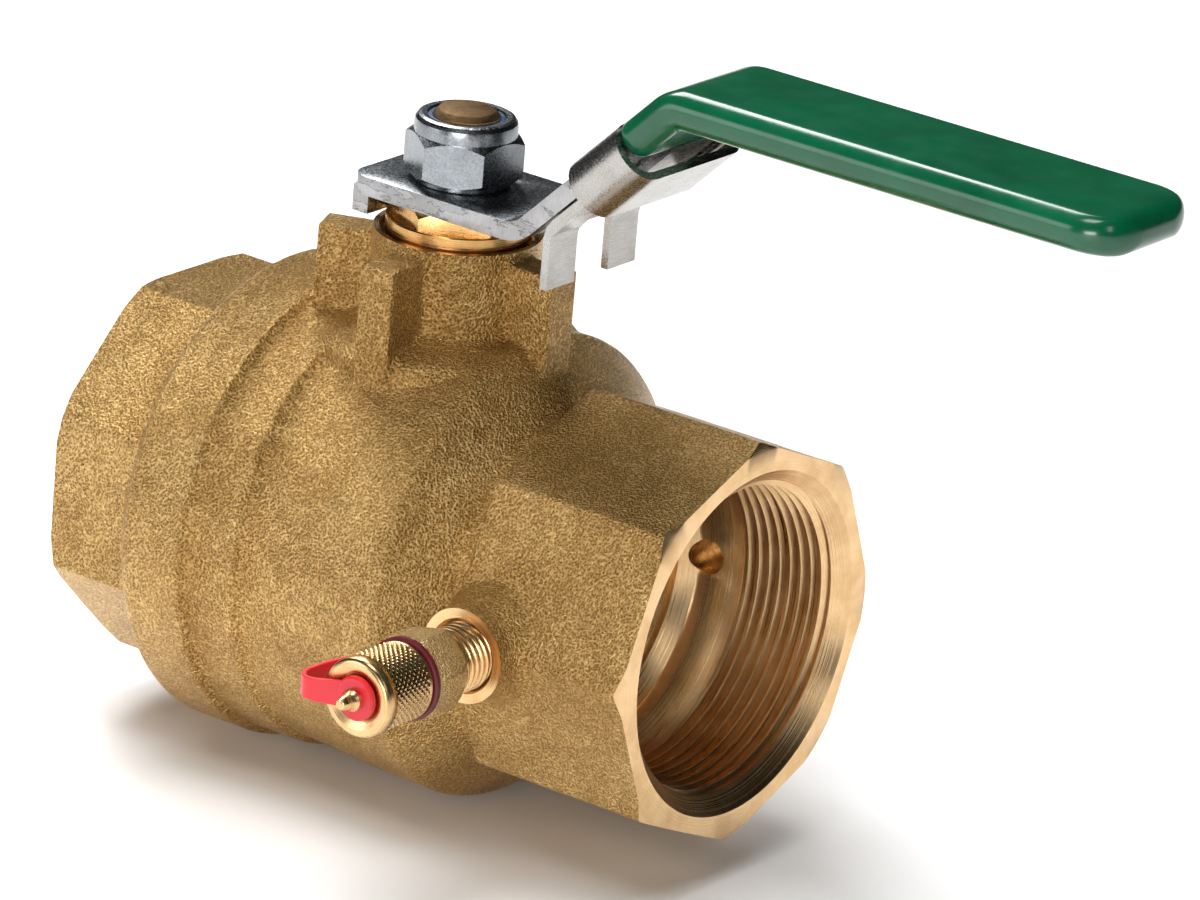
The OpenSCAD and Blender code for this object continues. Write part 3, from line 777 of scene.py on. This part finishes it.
def lever():
    reach = GRIP_TIP - 2.5
    side = bent_line(0, reach, 6, PLATE_LOW_X) + bent_line(-PLATE_T, reach, 6, PLATE_LOW_X)[::-1]
    # prism() runs along Z, so the side outline is drawn in X and Z and turned upright
    plate = prism(side, -PLATE_W / 2, PLATE_W / 2, UPRIGHT)
    plan = prism(rounded_plan(PLATE_LOW_X, reach, PLATE_W, 4, 7), 40, 130)
    combine(plate, plan, "INTERSECT", "EXACT")
    tab = box_between((PLATE_LOW_X, -10.8, PLATE_TOP - PLATE_T - 4),
                      (PLATE_LOW_X + 3.5, -4.2, PLATE_TOP - PLATE_T + 1))
    combine(plate, tab, "UNION", "EXACT")
    double_d = prism(double_flat(STEM_BORE_R, STEM_FLAT + 0.05), 50, 80)
    combine(plate, double_d, "DIFFERENCE", "EXACT")
    soften_edges(plate, 0.28, 40)

    def choose(place, normal):
        return 1 if abs(normal.y) > 0.7 or (normal.x < -0.7 and abs(normal.z) < 0.5) else 0

    return add_piece(plate, "lever_plate", "lever_group", [ZINC, SHEARED], ["lever"],
                     30, choose)


def lever_path(lift):
    """Centre line of the sleeve as (x, z) stations, evenly spaced."""
    line = [(x, z) for x, z in bent_line(lift, GRIP_TIP, 8, 0)]
    dense = []
    for (x0, z0), (x1, z1) in zip(line, line[1:]):
        length = math.hypot(x1 - x0, z1 - z0)
        count = max(1, int(length / 0.9))
        dense += [(x0 + (x1 - x0) * k / count, z0 + (z1 - z0) * k / count) for k in range(count)]
    dense.append(line[-1])
    return dense


def grip():
    mid = -PLATE_T / 2
    path = [p for p in lever_path(mid) if p[0] >= SLEEVE_START + 0.8]
    half_w, half_h, corner = 14.1, HANDLE_TOP_OUT - HANDLE_TOP - mid, 3.3
    ring_n = 56

    def section(w, h, r):
        """Rounded rectangle in (y, n)."""
        r = min(r, w - 0.01, h - 0.01)
        points = []
        per = ring_n // 4
        for cy, cn, first in ((w - r, h - r, 0), (-(w - r), h - r, 90), (-(w - r), -(h - r), 180),
                              (w - r, -(h - r), 270)):
            for k in range(per):
                a = math.radians(first + 90 * k / (per - 1))
                points.append((cy + r * math.cos(a), cn + r * math.sin(a)))
        return points

    def rings(path, w, h, r, corner_r, edge_r, tip):
        """Loops of points along the path; the plan narrows at the tip and its edge is round."""
        loops = []
        for i, (x, z) in enumerate(path):
            ahead = path[min(i + 1, len(path) - 1)]
            behind = path[max(i - 1, 0)]
            along = Vector((ahead[0] - behind[0], ahead[1] - behind[1])).normalized()
            to_tip = max(0.0, tip - x)
            width = w
            if to_tip < corner_r:
                width = w - corner_r + math.sqrt(max(0, corner_r ** 2 - (corner_r - to_tip) ** 2))
            inset = edge_r - math.sqrt(max(0, edge_r ** 2 - (edge_r - to_tip) ** 2)) if to_tip < edge_r else 0
            loop = []
            for y, n in section(max(0.4, width - 0.25 * inset), max(0.3, h - inset), r):
                loop.append((x - n * along.y, y, z + n * along.x))
            loops.append(loop)
        return loops

    tip_steps = [(GRIP_TIP - d, HANDLE_TOP + mid) for d in (2.4, 1.8, 1.3, 0.9, 0.55, 0.3, 0.12, 0.02)]
    outer_path = [p for p in path if p[0] < GRIP_TIP - 2.8] + tip_steps
    outer = rings(outer_path, half_w, half_h, corner, 9, 3.3, GRIP_TIP)
    inner_tip = GRIP_TIP - 2.4
    inner_path = [p for p in path if p[0] < inner_tip - 0.6] + [(inner_tip - 0.05, HANDLE_TOP + mid)]
    inner = rings(inner_path, PLATE_W / 2 + 0.05, PLATE_T / 2 + 0.05, 0.4, 7, 0.3, inner_tip)
    # Round lip at the near end: a smaller ring set back along the slope
    lip = []
    back = Vector((math.cos(SLOPE), math.sin(SLOPE)))
    for push, shrink in ((0.9, 0.0), (0.3, 0.18), (0.0, 0.6)):
        x, z = path[0][0] - back.x * (0.9 - push), path[0][1] - back.y * (0.9 - push)
        loop = []
        for y, n in section(half_w - shrink, half_h - shrink, corner - shrink * 0.5):
            loop.append((x - n * back.y, y, z + n * back.x))
        lip.append(loop)
    loops = inner[::-1] + [lip[2], lip[1]] + outer
    verts = [p for loop in loops for p in loop]
    faces = []
    size = len(outer[0])
    for k in range(len(loops) - 1):
        for i in range(size):
            j = (i + 1) % size
            faces.append([k * size + i, k * size + j, (k + 1) * size + j, (k + 1) * size + i])
    faces.append(list(range(size)))
    faces.append(list(range((len(loops) - 1) * size, len(loops) * size)))
    sleeve = raw_object("sleeve", verts, faces)
    return add_piece(sleeve, "vinyl_grip", "lever_group", [VINYL], ["grip_sleeve"], 50)


def nut():
    foot = lathe([(0, NUT_LOW), (NUT_FOOT_R - 0.2, NUT_LOW), (NUT_FOOT_R, NUT_LOW + 0.2),
                  (NUT_FOOT_R, NUT_LOW + 1.6), (0, NUT_LOW + 1.6)])
    base = NUT_LOW + NUT_FOOT_H
    flat = NUT_FLAT_H
    hexagon = prism(polygon(6, NUT_AF, NUT_TURN), base, base + flat)
    chamfer = lathe([(0, base), (9.6, base), (11.1, base + 1), (11.1, base + flat - 1.6),
                     (9.0, base + flat), (0, base + flat)])
    combine(hexagon, chamfer, "INTERSECT", "EXACT")
    collar = lathe([(0, base + 6), (9.35, base + 6), (9.35, NUT_TOP - 1.6), (9.2, NUT_TOP - 0.9),
                    (8.7, NUT_TOP - 0.25), (8.1, NUT_TOP), (7.2, NUT_TOP - 0.1), (7.0, NUT_TOP - 0.4),
                    (7.0, NUT_TOP - 0.8), (0, NUT_TOP - 0.8)])
    combine(hexagon, collar, "UNION", "EXACT")
    combine(hexagon, foot, "UNION", "EXACT")
    carve(hexagon, rod(STUD_R + 0.01, 60, 100))
    soften_edges(hexagon, 0.25, 25, 3)
    add_piece(hexagon, "locknut", "lever_group", [ZINC], ["lever_nut"])
    ring = lathe([(6.03, base + 8), (6.98, base + 8), (6.98, NUT_TOP - 0.5), (6.8, NUT_TOP - 0.4),
                  (6.2, NUT_TOP - 0.4), (6.03, NUT_TOP - 0.6)], ring=True)
    return add_piece(ring, "nylon_ring", "lever_group", [NYLON], ["nut_insert"])


def stud():
    """The stem: tang, collar, flats, and a plain end where the nut's thread would be."""
    top = STEM_TOP
    shank = lathe([(0, 35.6), (10.5, 35.6), (10.5, 39.35), (STEM_R, 39.4),
                   (STEM_R, PLATE_TOP - PLATE_T), (STUD_R, PLATE_TOP - PLATE_T), (STUD_R, top - 1),
                   (5.2, top - 0.15), (4.9, top), (0, top)])
    tang = box_between((-9, -4, 28.5), (9, 4, 36))
    combine(shank, tang, "UNION", "EXACT")
    flats = prism(double_flat(STEM_R, STEM_FLAT), PLATE_TOP - PLATE_T - 1, PLATE_TOP - 0.3)
    combine(shank, flats, "UNION", "EXACT")

    def choose(place, normal):
        return 1 if place.z > NUT_TOP - 0.7 else 0

    return add_piece(shank, "valve_stem", "lever_group", [NECK, STUD_END], ["stem"],
                     30, choose)


# ==== lock slide
def strip_outline():
    """Closed outline of the folded strip in (y, n), n measured up from the plate's top face."""
    t, top_n, low_n, fold_n = STRIP_T, 0.5, -9.5, FOLD_N
    near_y, far_y, fold_y, top_y = -10.3, 12.3, -3, 9
    near_r = (top_n + t - low_n) / 2
    far_r = (fold_n + t - low_n) / 2
    near_c, far_c = low_n + near_r, low_n + far_r
    turn = [math.pi * k / 18 for k in range(19)]
    outer = [(top_y, top_n + t)]
    outer += [(near_y - near_r * math.sin(a), near_c + near_r * math.cos(a)) for a in turn]
    outer += [(far_y + far_r * math.sin(a), far_c - far_r * math.cos(a)) for a in turn]
    outer.append((fold_y, fold_n + t))
    inner = [(fold_y, fold_n)]
    inner += [(far_y + (far_r - t) * math.sin(a), far_c + (far_r - t) * math.cos(a)) for a in turn]
    inner += [(near_y - (near_r - t) * math.sin(a), near_c - (near_r - t) * math.cos(a)) for a in turn]
    inner.append((top_y, top_n))
    return outer + inner


def slide():
    lift = extent("lock_slide", 2)[0] - FORK_LOW
    shift = Matrix.Translation((lift, 0, lift))
    on_slope = Matrix.Translation((SLOPE_X0, 0, PLATE_TOP)) @ Matrix.Rotation(-SLOPE, 4, "Y")
    across = Matrix(((0, 0, 1, 0), (1, 0, 0, 0), (0, 1, 0, 0), (0, 0, 0, 1)))
    strip = prism(strip_outline(), 0, STRIP_LEN, shift @ on_slope @ across)
    # Web and fork: one bent plate, drawn from the side and cut to two prongs
    t, fork_x = STRIP_T, FORK_X
    n_top = FOLD_N + t
    foot = on_slope @ Vector((0.5, 0, n_top))
    foot_low = on_slope @ Vector((0.5, 0, n_top - t))
    knee_z = foot.z - (foot.x - fork_x)
    profile = [(foot.x, foot.z), (fork_x + 1.6, knee_z + 1.6), (fork_x + 0.5, knee_z + 0.1),
               (fork_x, knee_z - 2), (fork_x, FORK_LOW), (fork_x + t, FORK_LOW), (fork_x + t, knee_z - 2.4),
               (fork_x + t + 0.3, knee_z - 1.4), (fork_x + t + 1.0, knee_z - 0.6), (foot_low.x, foot_low.z)]
    web = prism(profile, -FORK_OUT, FORK_OUT, UPRIGHT)
    gap = box_between((fork_x - 3, -FORK_IN, 40), (fork_x + 4, FORK_IN, LUG_TOP + 0.4))
    combine(web, gap, "DIFFERENCE", "EXACT")
    web.data.transform(shift)
    combine(strip, web, "UNION", "EXACT")
    soften_edges(strip, 0.2, 35)
    return add_piece(strip, "lock_clip", "slide", [BRUSHED], ["lock_slide"])


# ==== test point
def test_point():
    def form(phase):
        return 5.45 + 0.75 * min(1, max(0, (1 - abs(2 * phase - 1) - 0.15) / 0.6))

    shank = screw(34.0, 51.6, form, TEST_AXIS, 64, 12, 1.4)
    carve(shank, rod(9, 30, PLUG_BORE_END, TEST_AXIS), rod(9, HEX_LOW + 0.2, 60, TEST_AXIS))
    hexagon = prism(polygon(6, PLUG_HEX_AF, PLUG_HEX_TURN), HEX_LOW, HEX_HIGH, TEST_AXIS)
    rounder = lathe([(0, HEX_LOW), (7.2, HEX_LOW), (8.1, HEX_LOW + 0.9), (8.1, HEX_HIGH - 0.85),
                     (7.2, HEX_HIGH), (0, HEX_HIGH)], TEST_AXIS)
    combine(hexagon, rounder, "INTERSECT", "EXACT")
    soften_edges(hexagon, 0.25)
    nose = lathe([(0, 58), (5, 58), (5, 65.2), (4.7, 65.4), (0, 65.4)], TEST_AXIS, 64)
    add_piece(shank, "plug_thread", "housing", [POINT], [])
    combine(hexagon, nose, "UNION", "EXACT")
    add_piece(hexagon, "plug_hexagon", "housing", [CAST_HEX], ["test_plug_body"])

    ring = lathe([(5.05, RING_LOW), (7.3, RING_LOW), (7.6, RING_LOW + 0.3), (7.6, RING_HIGH - 0.3),
                  (7.3, RING_HIGH), (5.05, RING_HIGH)], TEST_AXIS, 96, True)
    # The anchor ring belongs to the red strap; its darker red is painted shade
    add_piece(ring, "strap_anchor", "housing", [PAINTED_SHADE_RED], ["strap_ring"])

    cap = knurled_cap()
    add_piece(cap, "knurled_cap", "cap", [POINT], ["test_cap"], 50)

    pin = lathe([(0, 65.45), (1.2, 65.45), (1.2, CAP_OUT + 0.1), (1.9, CAP_OUT + 0.1), (2.0, CAP_OUT + 0.4),
                 (2.0, CAP_OUT + 1.3), (1.55, CAP_OUT + 1.9), (1.35, CAP_OUT + 2.6), (1.25, CAP_OUT + 3.4),
                 (0.9, PIN_TIP - 0.2), (0.5, PIN_TIP), (0, PIN_TIP)], TEST_AXIS, 48)
    add_piece(pin, "cap_rivet", "cap_core", [POINT], ["cap_pin"])


def strap():
    """Red disc on the cap's end, and a thin band that bends from it back to the ring."""
    disc = lathe([(0, CAP_OUT - 0.9), (3.6, CAP_OUT - 0.9), (4.0, CAP_OUT - 0.6), (4.0, CAP_OUT + 0.2),
                  (3.7, CAP_OUT + 0.5), (0, CAP_OUT + 0.5)], TEST_AXIS, 64)
    carve(disc, lathe([(0, CAP_OUT - 3), (1.25, CAP_OUT - 3), (1.25, CAP_OUT + 1), (1.95, CAP_OUT + 1.1),
                       (1.95, CAP_OUT + 3), (0, CAP_OUT + 3)], TEST_AXIS, 64))
    add_piece(disc, "cap_disc", "cap_core", [RED], [])
    # Stations from the disc over the cap's side to the ring, as (away from the axis, height)
    knots = [(3.0, CAP_OUT - 0.2), (5.2, CAP_OUT + 0.9), (7.6, CAP_OUT + 2.1), (9.8, CAP_OUT + 1.9),
             (11.3, CAP_OUT - 0.2), (11.4, CAP_OUT - 4.2), (10.6, CAP_OUT - 8.5), (9.4, 61.0),
             (8.2, 59.4), (7.3, 58.9)]
    line = smooth_line(knots, 6)
    half_t, verts, faces = 0.45, [], []
    for i, (out, height) in enumerate(line):
        ahead, behind = line[min(i + 1, len(line) - 1)], line[max(i - 1, 0)]
        along = Vector((ahead[0] - behind[0], ahead[1] - behind[1])).normalized()
        half_w = 2.4 - 0.5 * math.sin(math.pi * i / (len(line) - 1))
        for side_w, side_t in ((half_w, half_t - 0.15), (half_w - 0.15, half_t), (0.15 - half_w, half_t),
                               (-half_w, half_t - 0.15), (-half_w, 0.15 - half_t),
                               (0.15 - half_w, -half_t), (half_w - 0.15, -half_t),
                               (half_w, 0.15 - half_t)):
            verts.append((-(out - along.y * side_t), side_w, height + along.x * side_t))
    sides = 8
    for k in range(len(line) - 1):
        for i in range(sides):
            j = (i + 1) % sides
            faces.append([k * sides + i, k * sides + j, (k + 1) * sides + j, (k + 1) * sides + i])
    faces.append(list(range(sides)))
    faces.append(list(range(len(verts) - sides, len(verts))))
    band = raw_object("band", verts, faces)
    band.data.transform(TEST_AXIS)
    add_piece(band, "strap_band", None, [RED], ["cap_strap"])
    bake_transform(band)


def smooth_line(knots, per):
    """Catmull-Rom curve through the knots, with per steps between two of them."""
    padded = [knots[0]] + knots + [knots[-1]]
    line = []
    for k in range(1, len(padded) - 2):
        p0, p1, p2, p3 = (Vector(p) for p in padded[k - 1:k + 3])
        for i in range(per):
            t = i / per
            line.append(tuple(0.5 * (2 * p1 + (p2 - p0) * t + (2 * p0 - 5 * p1 + 4 * p2 - p3) * t ** 2
                                     + (3 * p1 - p0 - 3 * p2 + p3) * t ** 3)))
    return line + [knots[-1]]


def knurled_cap():
    """Cap with a diamond knurl between two plain rims and a dished end."""
    r, low, high = KNURL_R, CAP_IN + 0.7, 70.0
    around, per, depth = 36, 4, 0.42
    step = (2 * math.pi * r / around) / per
    rows = int((high - low) / step)
    steps = around * per
    profile = [(5.05, CAP_IN), (6.8, CAP_IN), (r - 0.15, CAP_IN + 0.25), (r - 0.1, low)]
    profile += [(None, low + (high - low) * (k + 1) / (rows + 1)) for k in range(rows)]
    profile += [(r - 0.1, high), (r, high + 0.15), (r, CAP_OUT - 0.9), (r - 0.25, CAP_OUT - 0.3),
                (r - 0.8, CAP_OUT), (5.6, CAP_OUT), (4.4, CAP_OUT - 0.95), (1.25, CAP_OUT - 0.98),
                (1.25, 66.65), (5.05, 66.6)]
    verts = []
    row = 0
    for radius, z in profile:
        if radius is None:
            row += 1
        for i in range(steps):
            a = 2 * math.pi * i / steps
            rr = radius
            if radius is None:
                first, second = ((i + row) / per) % 1, ((i - row) / per) % 1
                groove = max(1 - 2 * min(first, 1 - first), 1 - 2 * min(second, 1 - second))
                rr = r - depth * max(0, groove - 0.15) / 0.85
            verts.append((rr * math.cos(a), rr * math.sin(a), z))
    count = len(profile)
    faces = []
    for k in range(count):
        for i in range(steps):
            j = (i + 1) % steps
            n = (k + 1) % count
            faces.append([k * steps + i, k * steps + j, n * steps + j, n * steps + i])
    cap = raw_object("cap", verts, faces)
    cap.data.transform(TEST_AXIS)
    return cap


# ==== stage, light and camera
def stage():
    floor_z = CAD_BOX[0].z - FLOOR_GAP
    size = FLOOR_SIZE
    floor = raw_object("floor", [(-size, -size, floor_z), (size, -size, floor_z), (size, size, floor_z),
                                 (-size, size, floor_z)], [[0, 1, 2, 3]])
    n = Nodes("pale_floor")
    n.set(Metallic=0.0)
    spread = n.grain(300, detail=2)
    n.finish(n.mix(spread, (0.86, 0.86, 0.86), (0.90, 0.90, 0.90)), n.level(spread, 0.6, 0.7))
    floor.data.materials.append(n.material)
    studio_world()


def studio_world():
    """Pale near the horizon and on the left, dark overhead and on the right."""
    world = bpy.data.worlds.new("studio")
    world.use_nodes = True
    tree = world.node_tree
    sky = tree.nodes["Background"]
    place = tree.nodes.new("ShaderNodeTexCoord")
    parts = tree.nodes.new("ShaderNodeSeparateXYZ")
    product = tree.nodes.new("ShaderNodeMath")
    product.operation = "MULTIPLY"
    tree.links.new(place.outputs["Generated"], parts.inputs[0])
    for slot, (axis, stops) in enumerate((("Z", ((0.0, 0.9), (0.30, 0.60), (0.55, 0.22), (1.0, 0.2))),
                                          ("X", ((0.0, 1.0), (0.10, 0.9), (0.45, 0.40), (1.0, 0.35))))):
        ramp = tree.nodes.new("ShaderNodeValToRGB")
        while len(ramp.color_ramp.elements) < len(stops):
            ramp.color_ramp.elements.new(0.5)
        for element, (at, level) in zip(ramp.color_ramp.elements, stops):
            element.position = at
            element.color = (level, level, level, 1)
        tree.links.new(parts.outputs[axis], ramp.inputs["Fac"])
        tree.links.new(ramp.outputs["Color"], product.inputs[slot])
    tree.links.new(product.outputs[0], sky.inputs["Strength"])
    bpy.context.scene.world = world
    bpy.context.scene.view_settings.view_transform = "Standard"


def softbox(name, place, size, power, aim=(0.061, 0, 0.02)):
    data = bpy.data.lights.new(name, "AREA")
    data.shape, data.size, data.size_y, data.energy = "RECTANGLE", size[0], size[1], power
    lamp = bpy.data.objects.new(name, data)
    bpy.context.scene.collection.objects.link(lamp)
    lamp.location = place
    lamp.rotation_mode = "QUATERNION"
    lamp.rotation_quaternion = (Vector(aim) - Vector(place)).to_track_quat("-Z", "Y")
    return lamp


def camera():
    azimuth, elevation, roll = (math.radians(a) for a in (35.502, 19.963, 4.888))
    distance, aim_right, aim_up = 1452.714, 30.092, 15.551
    back = Vector((math.sin(azimuth) * math.cos(elevation), -math.cos(azimuth) * math.cos(elevation),
                   math.sin(elevation)))
    level = Vector((math.cos(azimuth), math.sin(azimuth), 0))
    upright = back.cross(level)
    right = level * math.cos(roll) + upright * math.sin(roll)
    up = upright * math.cos(roll) - level * math.sin(roll)
    place = Vector((STEM_X, 0, 0)) + back * distance + right * aim_right + up * aim_up
    data = bpy.data.cameras.new("camera")
    data.lens, data.sensor_width = 240, 36
    data.clip_start, data.clip_end = 0.05, 20
    cam = bpy.data.objects.new("camera", data)
    bpy.context.scene.collection.objects.link(cam)
    matrix = Matrix((right, up, back)).transposed().to_4x4()
    matrix.translation = place * MM
    cam.matrix_world = matrix
    bpy.context.scene.camera = cam


body()
retainer()
gland()
for node, material in (("ball", CHROME), ("inlet_seat", PTFE), ("outlet_seat", PTFE),
                       ("joint_seal", RUBBER), ("thrust_washer", PTFE), ("stem_packing", PTFE),
                       ("test_plug_core", RUBBER), ("cap_gasket", RUBBER),
                       ("blanking_plug", POINT)):
    carry_over(node, material)
stud()
lever()
grip()
nut()
slide()
test_point()
strap()
stage()
softbox("key", (-0.95, -1.35, 0.40), (0.9, 0.7), 6)
softbox("fill", (0.62, -1.35, 0.24), (0.6, 0.4), 9)
softbox("crown", (-0.94, 0.60, 1.28), (0.8, 0.7), 20)
softbox("front", (0.05, -0.35, 1.55), (0.5, 0.5), 6)
softbox("right", (1.5, -0.7, 0.9), (0.25, 0.8), 2)
wash = softbox("wash", (0.0, -0.4, 1.8), (1.8, 1.8), 40)
wash.visible_glossy = False
camera()
